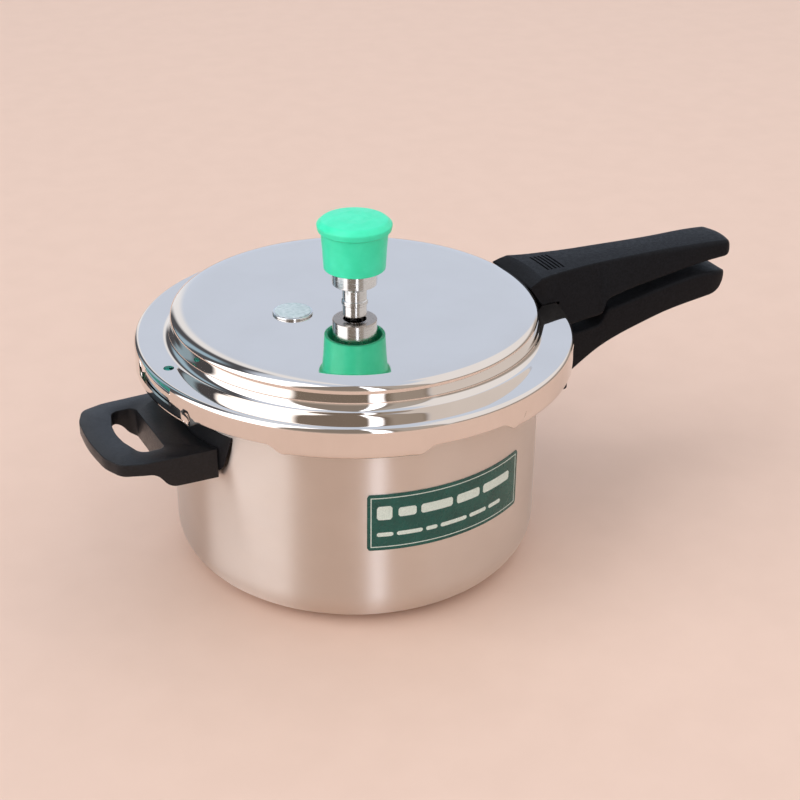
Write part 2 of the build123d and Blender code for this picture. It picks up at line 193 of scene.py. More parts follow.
# ---------------------------------------------------------------- meshes
def add_piece(name, points, faces, material, body, stands_for=(), crease=plain_crease):
    """New object from points in millimetres, riding on a body in place of CAD nodes."""
    mesh = bpy.data.meshes.new(name)
    mesh.from_pydata([[value * MM for value in point] for point in points], [], faces)
    edit = bmesh.new()
    edit.from_mesh(mesh)
    bmesh.ops.remove_doubles(edit, verts=edit.verts, dist=1e-6)
    bmesh.ops.dissolve_degenerate(edit, edges=edit.edges, dist=1e-7)
    bmesh.ops.recalc_face_normals(edit, faces=edit.faces)
    edit.to_mesh(mesh)
    edit.free()
    mesh.shade_smooth()
    mesh.set_sharp_from_angle(angle=radians(crease))
    mesh.materials.append(material)
    piece = bpy.data.objects.new(name, mesh)
    bpy.context.scene.collection.objects.link(piece)
    if body:
        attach(piece, body)
    if stands_for:
        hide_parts(*stands_for)
    return piece


def apply_modifiers(piece, crease=plain_crease):
    """Turns the modified shape into the piece's own mesh."""
    bpy.context.view_layer.update()
    mesh = bpy.data.meshes.new_from_object(piece.evaluated_get(bpy.context.evaluated_depsgraph_get()))
    mesh.name = piece.name
    piece.modifiers.clear()
    piece.data = mesh
    mesh.shade_smooth()
    mesh.set_sharp_from_angle(angle=radians(crease))


def cut(piece, cutters, crease=plain_crease):
    """Subtracts closed cutters, given as (points, faces), from a piece."""
    tools = []
    for points, faces in cutters:
        tool = add_piece(piece.name + "_tool", points, faces, piece.data.materials[0], None)
        cutting = piece.modifiers.new("cut", "BOOLEAN")
        cutting.operation = "DIFFERENCE"
        cutting.object = tool
        tools.append(tool)
    apply_modifiers(piece, crease)
    for tool in tools:
        bpy.data.objects.remove(tool)


def ring_faces(ring_count, ring_size, closed):
    """Quads between rings of points; closed joins the last ring to the first."""
    faces = []
    for ring in range(ring_count if closed else ring_count - 1):
        after = (ring + 1) % ring_count
        for index in range(ring_size):
            beside = (index + 1) % ring_size
            faces.append((
                ring * ring_size + index,
                after * ring_size + index,
                after * ring_size + beside,
                ring * ring_size + beside,
            ))
    return faces


def lathe(profile_at, azimuths, at=(0.0, 0.0)):
    """Ring whose closed outline of (radius, height) points may change with azimuth."""
    points = []
    for azimuth in azimuths:
        across, along = cos(radians(azimuth)), sin(radians(azimuth))
        profile = profile_at(azimuth)
        points += [(at[0] + radius * across, at[1] + radius * along, z) for radius, z in profile]
    return points, ring_faces(len(azimuths), len(profile), closed=True)


def turned(corners, steps=180, at=(0.0, 0.0), arc_steps=5):
    """Lathe work from (radius, height, rounding) corners of a closed outline."""
    profile = [tuple(point) for point in rounded(corners, closed=True, steps=arc_steps)]
    azimuths = [360 * step / steps for step in range(steps)]
    return lathe(lambda azimuth: profile, azimuths, at)


def loft(rings):
    """Closed skin over rings of equally many points, with flat ends."""
    points = [point for ring in rings for point in ring]
    size = len(rings[0])
    faces = ring_faces(len(rings), size, closed=False)
    faces.append(tuple(range(size)))
    faces.append(tuple(range(len(points) - size, len(points))))
    return points, faces


def bent_block(inner, outer, low, high, start, stop, step=1.0):
    """Block bent round the pot's axis."""
    rings = []
    for azimuth in spaced(start, stop, step):
        across, along = cos(radians(azimuth)), sin(radians(azimuth))
        corners = ((inner, low), (outer, low), (outer, high), (inner, high))
        rings.append([(radius * across, radius * along, z) for radius, z in corners])
    return loft(rings)


def upright_bar(radius, low, high, at=(0.0, 0.0), steps=48):
    """Round bar from one height to another."""
    return turned([(0, low, 0), (radius, low, 0), (radius, high, 0), (0, high, 0)], steps, at)


# ---------------------------------------------------------------- materials
def linear(red, green, blue):
    """Linear colour from 0 to 255 display values."""
    parts = [value / 255 for value in (red, green, blue)]
    curve = [part / 12.92 if part < 0.04045 else ((part + 0.055) / 1.055) ** 2.4 for part in parts]
    return curve + [1.0]


def new_material(name, colour, roughness, metallic=0.0):
    """Material and its Principled shader."""
    material = bpy.data.materials.new(name)
    material.use_nodes = True
    shader = material.node_tree.nodes["Principled BSDF"]
    shader.inputs["Base Color"].default_value = colour
    shader.inputs["Roughness"].default_value = roughness
    shader.inputs["Metallic"].default_value = metallic
    return material, shader


def noise_node(material, scale, detail=3.0, stretch=(1, 1, 1)):
    """Noise over the piece, with features about 1/scale metres wide."""
    nodes, links = material.node_tree.nodes, material.node_tree.links
    place = nodes.new("ShaderNodeTexCoord")
    mapping = nodes.new("ShaderNodeMapping")
    mapping.inputs["Scale"].default_value = stretch
    noise = nodes.new("ShaderNodeTexNoise")
    noise.inputs["Scale"].default_value = scale
    noise.inputs["Detail"].default_value = detail
    links.new(place.outputs["Object"], mapping.inputs["Vector"])
    links.new(mapping.outputs["Vector"], noise.inputs["Vector"])
    return noise


def ranged(material, source, low, high, from_low=0.35, from_high=0.65):
    """Source's 0..1 value spread over low..high."""
    spread = material.node_tree.nodes.new("ShaderNodeMapRange")
    spread.inputs["From Min"].default_value = from_low
    spread.inputs["From Max"].default_value = from_high
    spread.inputs["To Min"].default_value = low
    spread.inputs["To Max"].default_value = high
    material.node_tree.links.new(source, spread.inputs["Value"])
    return spread.outputs["Result"]


def mottled(material, shader, socket, low, high, scale, stretch=(1, 1, 1)):
    """A shader value that drifts over the surface."""
    noise = noise_node(material, scale, stretch=stretch)
    material.node_tree.links.new(ranged(material, noise.outputs["Fac"], low, high), shader.inputs[socket])


def two_tone(material, shader, first, second, scale, stretch=(1, 1, 1)):
    """A base colour that drifts between two colours."""
    noise = noise_node(material, scale, stretch=stretch)
    mix = material.node_tree.nodes.new("ShaderNodeMix")
    mix.data_type = "RGBA"
    mix.inputs["A"].default_value = first
    mix.inputs["B"].default_value = second
    links = material.node_tree.links
    links.new(ranged(material, noise.outputs["Fac"], 0, 1), mix.inputs["Factor"])
    links.new(mix.outputs["Result"], shader.inputs["Base Color"])


def bumped(material, shader, scale, depth, detail=3.0, stretch=(1, 1, 1)):
    """Fine relief; depth is in metres."""
    noise = noise_node(material, scale, detail, stretch)
    bump = material.node_tree.nodes.new("ShaderNodeBump")
    bump.inputs["Strength"].default_value = 1.0
    bump.inputs["Distance"].default_value = depth
    links = material.node_tree.links
    links.new(noise.outputs["Fac"], bump.inputs["Height"])
    links.new(bump.outputs["Normal"], shader.inputs["Normal"])


def grained(material, shader, amount):
    """Polishing marks round the axis: they smear reflections along the height."""
    quarter_turn = 0.25
    tangent = material.node_tree.nodes.new("ShaderNodeTangent")
    tangent.direction_type = "RADIAL"
    tangent.axis = "Z"
    shader.inputs["Anisotropic"].default_value = amount
    shader.inputs["Anisotropic Rotation"].default_value = quarter_turn
    material.node_tree.links.new(tangent.outputs["Tangent"], shader.inputs["Tangent"])


def mirror_steel():
    material, shader = new_material("mirror_steel", (0.77, 0.71, 0.66, 1), 0.03, metallic=1.0)
    mottled(material, shader, "Roughness", 0.02, 0.045, 60)
    two_tone(material, shader, (0.78, 0.72, 0.67, 1), (0.76, 0.70, 0.65, 1), 35)
    return material


def polished_wall():
    material, shader = new_material("polished_wall", (0.77, 0.70, 0.64, 1), 0.2, metallic=1.0)
    grained(material, shader, 1.0)
    mottled(material, shader, "Roughness", 0.33, 0.36, 900, stretch=(0.05, 0.05, 1))
    two_tone(material, shader, (0.79, 0.72, 0.66, 1), (0.75, 0.68, 0.62, 1), 26)
    return material


def turned_steel():
    material, shader = new_material("turned_steel", (0.72, 0.72, 0.72, 1), 0.22, metallic=1.0)
    grained(material, shader, 0.6)
    mottled(material, shader, "Roughness", 0.14, 0.3, 2500, stretch=(0.1, 0.1, 1))
    bumped(material, shader, 2500, 0.00002, stretch=(0.05, 0.05, 1))
    return material


def plated_steel():
    material, shader = new_material("plated_steel", (0.6, 0.6, 0.61, 1), 0.35, metallic=1.0)
    mottled(material, shader, "Roughness", 0.25, 0.45, 300)
    two_tone(material, shader, (0.63, 0.63, 0.64, 1), (0.5, 0.5, 0.52, 1), 220)
    return material


def black_phenolic(name, specular, low, high):
    material, shader = new_material(name, (0.01, 0.01, 0.011, 1), 0.38)
    shader.inputs["Specular IOR Level"].default_value = specular
    two_tone(material, shader, (0.008, 0.008, 0.009, 1), (0.012, 0.012, 0.014, 1), 900)
    mottled(material, shader, "Roughness", low, high, 500)
    bumped(material, shader, 2600, 0.00006, detail=2.0)
    return material


def green_plastic():
    material, shader = new_material("green_plastic", (0.045, 0.80, 0.44, 1), 0.35)
    shader.inputs["Subsurface Weight"].default_value = 0.1
    shader.inputs["Subsurface Radius"].default_value = (0.001, 0.003, 0.0015)
    two_tone(material, shader, (0.04, 0.78, 0.43, 1), (0.055, 0.83, 0.48, 1), 160)
    mottled(material, shader, "Roughness", 0.30, 0.42, 400)
    bumped(material, shader, 1800, 0.00004, detail=2.0)
    return material


def label_film():
    material, shader = new_material("label_film", linear(0, 74, 66), 0.25)
    two_tone(material, shader, linear(0, 70, 62), linear(4, 82, 72), 90)
    mottled(material, shader, "Roughness", 0.2, 0.32, 200)
    return material


def label_ink():
    material, shader = new_material("label_ink", linear(214, 226, 216), 0.35)
    two_tone(material, shader, linear(218, 230, 220), linear(198, 212, 202), 1500)
    return material


def teal_rubber():
    material, shader = new_material("teal_rubber", linear(20, 130, 120), 0.55)
    two_tone(material, shader, linear(22, 128, 116), linear(30, 146, 134), 400)
    bumped(material, shader, 2000, 0.00005)
    return material


def black_rubber():
    material, shader = new_material("black_rubber", (0.02, 0.02, 0.02, 1), 0.6)
    two_tone(material, shader, (0.015, 0.015, 0.015, 1), (0.03, 0.03, 0.03, 1), 500)
    bumped(material, shader, 1500, 0.00008)
    return material


def cast_alloy():
    material, shader = new_material("cast_alloy", (0.6, 0.6, 0.58, 1), 0.5, metallic=1.0)
    two_tone(material, shader, (0.62, 0.62, 0.6, 1), (0.45, 0.45, 0.44, 1), 700)
    bumped(material, shader, 1200, 0.00008)
    return material


def dial_print():
    material, shader = new_material("dial_print", linear(196, 204, 206), 0.3)
    two_tone(material, shader, linear(205, 212, 214), linear(176, 188, 190), 500)
    return material


steel = mirror_steel()
wall_steel = polished_wall()
fine_steel = turned_steel()
plated = plated_steel()
satin_black = black_phenolic("satin_black", 0.065, 0.38, 0.48)
gloss_black = black_phenolic("gloss_black", 0.26, 0.28, 0.36)
cap_green = green_plastic()
film = label_film()
ink = label_ink()
rubber_teal = teal_rubber()
rubber_black = black_rubber()
alloy = cast_alloy()
dial_face = dial_print()

# ---------------------------------------------------------------- azimuths of the big rings
coarse_step = 0.75
fine_step = 0.2
dimple_azimuths = (198.9, 291.8)
dimple_radius = 6.0
dimple_depth = 0.9
dimple_z = skirt_z - 0.2
dimple_span = 3.0


def ring_azimuths(fine_spots, span):
    """Azimuths round the axis, closer together near the given spots."""
    azimuths = []
    azimuth = 0.0
    while azimuth < 360 - 1e-6:
        azimuths.append(azimuth)
        near = any(abs(azimuth - spot) < span for spot in fine_spots)
        azimuth += fine_step if near else coarse_step
    return azimuths


def from_gap(azimuth, radius):
    """Distance along the rim from the middle of the nearest gap between lugs."""
    turn = (azimuth - lug_azimuth) % lug_step - lug_step / 2
    return abs(radius * sin(radians(turn)))


# ---------------------------------------------------------------- lid shell
def lid_face(inset):
    """Outer (inset 0) or inner face of the lid's sheet, from the vent's hole to the skirt."""
    roll_steps = 16
    flat_start = 12.0
    longest = 1.6 if inset == 0 else 3.0    # the inner face is hardly seen
    face = [Vector((vent_hole, lid_top - inset)), Vector((flat_start, lid_top - inset))]
    centre = Vector((dome_radius - roll_width, lid_top - roll_height))
    for step in range(roll_steps + 1):
        angle = pi / 2 * (1 - step / roll_steps)
        reach = Vector(((roll_width - inset) * cos(angle), (roll_height - inset) * sin(angle)))
        face.append(centre + reach)
    face += rounded([
        (dome_radius - inset, lid_top - roll_height, 0),
        (dome_radius - inset, lid_rim_z - inset, dome_fillet + inset),
        (lid_radius - inset, lid_rim_z - inset, rim_round - inset),
        (lid_radius - inset, skirt_top, 0),
    ], steps=9)[1:]
    return split(face, longest)


lid_outside = lid_face(0)
lid_inside = lid_face(lid_sheet)

# distances along the rim from the middle of a gap between lugs
drop_start = 18.0
drop_end = 28.0
curl_start = 24.7    # the lip starts here, so that it clears the pot's lugs when the lid is turned
curl_end = 29.5
least_curl = 0.02
lip_round = 2.2


def skirt_line(azimuth):
    """Middle line of the skirt's lower part, which ends in an inturned lip at each lug."""
    away = from_gap(azimuth, lid_radius)
    drop = ease(away, drop_start, drop_end)
    edge_z = skirt_z + (lug_z - skirt_z) * drop + lid_sheet / 2
    curl = least_curl + (1 - least_curl) * ease(away, curl_start, curl_end)
    middle = lid_radius - lid_sheet / 2
    return rounded([
        (middle, skirt_top, 0),
        (middle, edge_z, lip_round * curl),
        (middle - (middle - lug_inner) * curl, edge_z, 0),
    ], steps=6)


def dimpled(radius, azimuth, z):
    """Radius of the skirt's outer face where a round mark is pressed into it."""
    centre = lid_radius - dimple_depth + dimple_radius
    for spot in dimple_azimuths:
        away = hypot(radians(azimuth - spot) * lid_radius, z - dimple_z)
        if away < dimple_radius:
            radius = min(radius, centre - sqrt(dimple_radius * dimple_radius - away * away))
    return radius


def lid_profile(azimuth):
    """Closed outline of the lid's sheet at one azimuth."""
    line = skirt_line(azimuth)
    line[1:1] = [line[0].lerp(line[1], share) for share in (0.25, 0.5, 0.75)]
    outside, inside = [], []
    for index, point in enumerate(line):
        before = line[max(index - 1, 0)]
        after = line[min(index + 1, len(line) - 1)]
        way = (after - before).normalized()
        across = Vector((-way.y, way.x)) * lid_sheet / 2
        spot = point + across
        outside.append(Vector((dimpled(spot.x, azimuth, spot.y), spot.y)))
        inside.append(point - across)
    return lid_outside[:-1] + outside + inside[::-1] + lid_inside[-2::-1]


def make_lid():
    points, faces = lathe(lid_profile, ring_azimuths(dimple_azimuths, dimple_span))
    lid = add_piece("lid_steel", points, faces, steel, "lid", ["lid_shell"])
    reach, azimuth = pinhole_at
    pinhole = (reach * cos(radians(azimuth)), reach * sin(radians(azimuth)))
    cut(lid, [
        bent_block(lid_radius - 3, lid_radius + 1, window_low, window_high,
                   window_azimuth - window_half_angle, window_azimuth + window_half_angle),
        upright_bar(pinhole_radius, lid_rim_z - 5, lid_rim_z + 5, pinhole),
        upright_bar(valve_hole, lid_top - 5, lid_top + 1, valve_at),
    ])


make_lid()


# ---------------------------------------------------------------- pot body
def pot_profile(azimuth):
    """Closed outline of the pot's wall; the flange is cut back between its lugs."""
    flank = 1.2
    gap_half_width = flange_radius * sin(radians(lug_step / 2 - pot_lug_half_angle))
    full = ease(from_gap(azimuth, flange_radius), gap_half_width - flank, gap_half_width + flank)
    edge = flange_root + (flange_radius - flange_root) * full
    under = pot_height - flange_sheet
    shortest_lip_z = under - 0.1
    lip_z = shortest_lip_z + (flange_lip_z - shortest_lip_z) * full
    return rounded([
        (0, 0, 0),
        (pot_radius, 0, pot_corner),
        (pot_radius, under, 1.5),
        (edge - flange_sheet, under, 0.5),
        (edge - flange_sheet, lip_z, 0),
        (edge, lip_z, 0),
        (edge, pot_height, 1.5),
        (pot_radius - pot_wall, pot_height, 1.5),
        (pot_radius - pot_wall, pot_base, pot_corner - pot_wall),
        (0, pot_base, 0),
    ], steps=10)


def make_pot():
    mirror_slot = 1
    points, faces = lathe(pot_profile, ring_azimuths((), 0))
    pot = add_piece("pot_steel", points, faces, wall_steel, "pot", ["pot_body"])
    pot.data.materials.append(steel)
    for face in pot.data.polygons:
        if hypot(face.center.x, face.center.y) > (pot_radius + 3) * MM:
            face.material_index = mirror_slot


make_pot()

# ---------------------------------------------------------------- gasket
gasket_top = lid_rim_z - lid_sheet - 0.05
add_piece(
    "sealing_ring",
    *turned([
        (gasket_outer, gasket_top - gasket_height, 0.5),
        (gasket_outer, gasket_top, 0.8),
        (101.6, gasket_top, 0.4),
        (100.6, gasket_top - 1.2, 0.5),
        (gasket_inner, gasket_top - 1.2, 0.4),
        (gasket_inner, gasket_top - gasket_height, 0.4),
    ], 240),
    rubber_teal, "lid", ["gasket"],
)

# ---------------------------------------------------------------- vent pipe, weight, valve
add_piece(
    "vent_tube",
    *turned([
        (vent_bore, lid_top - lid_sheet - 12, 0),
        (4.0, lid_top - lid_sheet - 12, 0.5),
        (4.0, lid_top + 0.05, 0),
        (vent_foot, lid_top + 0.05, 0),
        (vent_foot, lid_top + 1.1, 0.3),
        (vent_neck, lid_top + 1.5, 0.2),
        (vent_neck, lid_top + 7.0, 0.3),
        (5.6, lid_top + 7.6, 0.3),
        (2.7, lid_top + 8.4, 0.4),
        (2.2, nozzle_tip - 1.0, 0.3),
        (1.6, nozzle_tip, 0.2),
        (vent_bore, nozzle_tip, 0.1),
    ], 96),
    fine_steel, "lid", ["vent_pipe"],
)
bore_roof = nozzle_tip + 5.1
add_piece(
    "weight_barrel",
    *turned([
        (barrel_bore, weight_base, 0.2),
        (barrel_radius, weight_base, 0.5),
        (barrel_radius, weight_top, 0.7),
        (0, weight_top, 0),
        (0, bore_roof, 0),
        (barrel_bore, bore_roof, 0),
    ], 144),
    fine_steel, "weight", ["weight_body"],
)
add_piece(
    "weight_grip",
    *turned([
        (0, lid_top + 45.2, 0),
        (9.0, lid_top + 45.1, 20.0),
        (16.4, lid_top + 44.3, 3.0),
        (19.1, lid_top + 41.9, 1.2),
        (18.6, lid_top + 38.9, 0.9),
        (17.1, lid_top + 38.2, 0.5),
        (16.3, lid_top + 29.0, 30.0),
        (15.7, lid_top + 18.3, 0.6),
        (13.9, lid_top + 18.3, 0.5),
        (15.2, weight_top - 8.0, 0.5),
        (11.55, weight_top - 8.0, 0),
        (11.55, weight_top + 0.05, 0),
        (0, weight_top + 0.05, 0),
    ], 180, arc_steps=8),
    cap_green, "weight", ["weight_cap"],
)
add_piece(
    "valve_head",
    *turned([
        (valve_bore, lid_top - lid_sheet - 9, 0),
        (valve_stem, lid_top - lid_sheet - 9, 0.4),
        (valve_stem, lid_top + 0.05, 0),
        (valve_head, lid_top + 0.05, 0.2),
        (valve_head, lid_top + 1.1, 0.45),
        (valve_bore, lid_top + 1.1, 0),
    ], 144, valve_at),
    fine_steel, "lid", ["safety_valve"],
)
add_piece(
    "valve_dial",
    *turned([
        (0, lid_top + 1.15, 0),
        (dial_radius, lid_top + 1.15, 0),
        (dial_radius, lid_top + 1.45, 0.12),
        (0, lid_top + 1.45, 0),
    ], 96, valve_at),
    dial_face, "lid", ["safety_valve_dial"],
)


# ---------------------------------------------------------------- long handles
def handle_ring(place, curve, low, high, low_half, high_half, low_round, high_round, crown=0.4):
    """One section of a long handle; curve bends it round the pot's axis."""
    crown_points = 7
    crown_share = 0.8    # part of the top's width that the crown covers
    corners = [
        (-low_half, low, low_round),
        (low_half, low, low_round),
        (high_half, high, high_round),
    ]
    for step in range(1, crown_points + 1):
        side = 1 - 2 * step / (crown_points + 1)
        corners.append((high_half * side * crown_share, high + crown * (1 - side * side), 0))
    corners.append((-high_half, high, high_round))
    ring = []
    for y, z in rounded(corners, closed=True, steps=6):
        bend = place - sqrt(max(place * place - y * y, 0))
        ring.append((place - curve * bend, y, z))
    return ring


def lid_handle_rings():
    """From the beak that touches the dome, over the lid's flat ring, to the rounded tip."""
    inner = 101.5
    rim = 112.1
    tip = 230.2
    beak_half = 20.4
    root_half = 20.6
    low_round = 1.5
    top = through((inner, 137.1), (121, 137.0), (145, 136.8), (165, 136.5), (190, 136.0), (215, 135.5),
                  (tip, 134.6))
    top_half = through((inner, 18.6), (109, 16.2), (121, 14.2), (131, 12.8), (148, 11.8), (182, 11.4),
                       (205, 12.6), (tip, 13.2))
    low_half = through((112, 22.4), (125, 21.8), (145, 19.6), (165, 16.8), (205, 14.6), (tip, 14.0))
    edge = through((inner, 1.2), (145, 1.4), (190, 3.0), (tip, 3.6))
    under = through((112, 107.2), (127, 109.0), (137.5, 109.4), (139.5, 110.6), (142, 116.4), (150, 118.4),
                    (164, 120.0), (178, 121.4), (206, 124.8), (tip, 126.2))
    rings = []
    for place, low, high, half in ((94.6, 133.4, 134.2, 19.8), (98.0, 128.3, 135.6, 19.4)):
        rings.append(handle_ring(place, 1, low, high, beak_half, half, 0.3, 0.3, 0))
    for place in (inner, inner + 0.8, 105, 108.5, rim):
        rings.append(handle_ring(place, 1, lid_rim_z + 0.1, top(place), root_half, top_half(place), 0.3,
                                 edge(place)))
    cap = 4.5
    places = spaced(112.15, 136, 3.4) + spaced(137, 144, 0.7) + spaced(147, tip - cap, 4)
    for place in places:
        curve = 1 - ease(place, rim, 135)
        rings.append(handle_ring(place, curve, under(place), top(place), low_half(place),
                                 top_half(place), low_round, edge(place)))
    cap_steps = 6
    for step in range(1, cap_steps + 1):
        angle = pi / 2 * step / cap_steps
        inset = cap * (1 - cos(angle))
        place = tip - cap + cap * sin(angle)
        rings.append(handle_ring(place, 0, under(place) + inset * 0.5, top(place) - inset * 0.75,
                                 low_half(place) - inset, top_half(place) - inset, low_round,
                                 edge(place)))
    bow_start = 205.0
    bow = 2.7
    bow_half = 13
    for ring in rings:
        for index, (x, y, z) in enumerate(ring):
            share = max(x - bow_start, 0) / (tip - bow_start)
            ring[index] = (x - bow * share * (y / bow_half) ** 2, y, z)
    return rings


def pot_handle_rings():
    """From the pot's wall to the rounded tip, whose underside rises."""
    low_round = 1.8
    top = through((97, 98.4), (124, 101.2), (138.5, 102.2), (141, 104.0), (144.6, 109.4), (150, 110.6),
                  (165, 113.2), (180, 116.0), (206, 119.1), (224.7, 118.0))
    under = through((97, 66.0), (112, 73.2), (125, 80.4), (138, 87.2), (150, 91.8), (166, 96.4),
                    (185, 101.0), (212, 104.6), (218.6, 105.2))
    half = through((97, 22.0), (112, 19.6), (145, 16.6), (180, 16.0), (224.7, 15.4))
    edge = through((97, 0.8), (150, 1.6), (224.7, 2.4))
    rings = []
    end_start = 214.0
    end = 224.7
    places = spaced(97.2, 136, 3.6) + spaced(137, 147, 0.7) + spaced(150, end_start, 4)
    for place in places:
        curve = 1 - ease(place, 97.2, 120)
        rings.append(handle_ring(place, curve, under(place), top(place), half(place) + 0.4, half(place),
                                 low_round, edge(place)))
    cap_steps = 8
    for step in range(1, cap_steps + 1):
        angle = pi / 2 * step / cap_steps
        inset = 4.0 * (1 - cos(angle))
        place = end_start + (end - end_start) * sin(angle)
        low = under(end_start) + 12.0 * (1 - cos(angle))
        rings.append(handle_ring(place, 0, low, top(place) - inset * 0.4, half(place) - inset,
                                 half(place) - inset, low_round, edge(place)))
    return rings


def screw_pocket(at, low, high):
    """Counterbore for a screw, open below."""
    return upright_bar(screw_pocket_radius, low, high, at)


def groove_cutter(x):
    """Block that cuts one groove across the lid handle's top."""
    above = groove_floor + 3.4
    half = groove_width / 2
    corners = ((-half, groove_floor), (half, groove_floor), (half, above), (-half, above))
    return loft([[(x + side, y, z) for side, z in corners] for y in (-groove_length / 2, groove_length / 2)])


lid_grip = add_piece("lid_grip", *loft(lid_handle_rings()), satin_black, "lid", ["lid_handle"],
                     crease=moulded_crease)
lid_cutters = [screw_pocket((x, 0), 95, lid_pocket_top) for x in lid_screws]
lid_cutters += [groove_cutter(x) for x in grooves]
cut(lid_grip, lid_cutters, crease=moulded_crease)

pot_grip = add_piece("pot_grip", *loft(pot_handle_rings()), satin_black, "pot", ["pot_handle"],
                     crease=moulded_crease)
cut(pot_grip, [screw_pocket((x, 0), 60, top) for x, top in pot_screws], crease=moulded_crease)


# ---------------------------------------------------------------- helper handle
def resampled(line, count):
    """Closed line divided into equally long steps."""
    closed = line + [line[0]]
    lengths = [(stop - start).length for start, stop in zip(closed, closed[1:])]
    total = sum(lengths)
    result = []
    index, passed = 0, 0.0
    for step in range(count):
        target = total * step / count
        while passed + lengths[index] < target:
            passed += lengths[index]
            index += 1
        part = (target - passed) / lengths[index] if lengths[index] else 0
        result.append(closed[index].lerp(closed[index + 1], part))
    return result


def mirrored(side):
    """The corners of one side, then the same ones across the x axis in reverse order."""
    return side + [(x, -y, radius) for x, y, radius in reversed(side) if y != 0]


def make_helper():
    """Skin between the outline and the finger slot, flat on top and stepped underneath."""
    top_z = 90.6
    collar = 96.45
    half = 35.4
    count = 168
    side = asin(half / collar)
    hug = [Vector((-collar * cos(angle), collar * sin(angle))) for angle in spaced(side, -side, -0.05)]
    outer = rounded(mirrored([
        (hug[-1].x, hug[-1].y, 0),
        (-126, -34.2, 20),
        (-137.3, -31.0, 7),
        (-142.2, -20.0, 20),
        (-144.0, 0, 150),
    ]), steps=10) + hug[1:-1]
    slot = rounded(mirrored([
        (-112.3, 0, 0),
        (-112.3, -23.0, 3.5),
        (-124.6, -23.0, 5.5),
        (-128.6, -9.0, 12),
        (-129.6, 0, 60),
    ]), closed=True, steps=10)
    hug_start = len(outer) - len(hug)
    outer_start = next(
        index for index, point in enumerate(outer) if index > hug_start and point.y <= 0
    )
    outer = resampled(outer[outer_start:] + outer[:outer_start], count)
    slot = resampled(slot, count)
    under = through((-144, 84.5), (-125.5, 83.9), (-122, 83.2), (-119, 81.0), (-116.1, 77.2),
                    (-113, 75.2), (-109.5, 74.8), (-95, 74.8))
    rings = []
    for line, z_of in ((outer, under), (outer, None), (slot, None), (slot, under)):
        rings.append([(p.x, p.y, z_of(p.x) if z_of else top_z) for p in line])
    points = [point for ring in rings for point in ring]
    return points, ring_faces(4, count, closed=True)


helper = add_piece("helper_grip", *make_helper(), gloss_black, "pot", ["helper_handle"],
                   crease=moulded_crease)
rounding = helper.modifiers.new("rounding", "BEVEL")
rounding.width = 1.1 * MM
rounding.segments = 3
rounding.limit_method = "ANGLE"
rounding.angle_limit = radians(50)
apply_modifiers(helper, moulded_crease)
cut(helper, [screw_pocket((helper_screw[0], 0), 60, helper_screw[1])], crease=moulded_crease)


def collar_rings():
    """Wedge between the helper handle and the pot, section by section round the pot."""
    inner = pot_radius + 0.05
    outer = pot_radius + 1.4
    rings = []
    for side in spaced(-1, 1, 0.03):
        ring = []
        for radius, z, half_angle in (
            (inner, 73.8, 18.0), (outer - 0.4, 73.8, 18.0), (outer, 74.4, 18.3), (outer, 78.0, 21.0),
            (outer, 82.0, 23.4), (outer, 90.8, 25.2), (inner + 0.4, 98.3, 26.4), (inner, 98.5, 26.4),
        ):
            azimuth = radians(180 + side * half_angle)
            ring.append((radius * cos(azimuth), radius * sin(azimuth), z))
        rings.append(ring)
    return rings


add_piece("helper_wedge", *loft(collar_rings()), gloss_black, "pot", ["helper_collar"],
          crease=moulded_crease)

# ---------------------------------------------------------------- label
label_middle = 275.1
label_half_angle = 27.3
label_low = 47.5
label_high = 78.5


def bent_panel(corners, radius, depth):
    """Thin panel on the label's spot, from (distance along the wall, height, rounding) corners."""
    step = 0.8
    least_height = 0.02
    slack = 1e-9
    outline = rounded(corners, closed=True, steps=5)
    low = min(point.y for point in outline)
    high = max(point.y for point in outline)
    left = min(point.x for point in outline)
    right = max(point.x for point in outline)
    rings = []
    for along in spaced(left, right, step):
        crossings = []
        for start, stop in zip(outline, outline[1:] + outline[:1]):
            near, far = sorted((start.x, stop.x))
            if near != far and near - slack <= along <= far + slack:
                part = (along - start.x) / (stop.x - start.x)
                crossings.append(start.y + part * (stop.y - start.y))
        bottom = min(crossings or [low])
        top_edge = max(crossings or [high])
        if top_edge - bottom < least_height:
            top_edge = bottom + least_height
        azimuth = radians(label_middle) + along / pot_radius
        front = radius + depth
        section = ((radius, bottom), (front, bottom), (front, top_edge), (radius, top_edge))
        rings.append([(reach * cos(azimuth), reach * sin(azimuth), z) for reach, z in section])
    return loft(rings)


def box_corners(left, right, low, high, radius):
    return [(left, low, radius), (right, low, radius), (right, high, radius), (left, high, radius)]


half_run = radians(label_half_angle) * pot_radius
add_piece(
    "label_film",
    *bent_panel(box_corners(-half_run, half_run, label_low, label_high, 1.5), pot_radius + 0.05, 0.25),
    film, "pot", ["pot_label"], crease=label_crease,
)


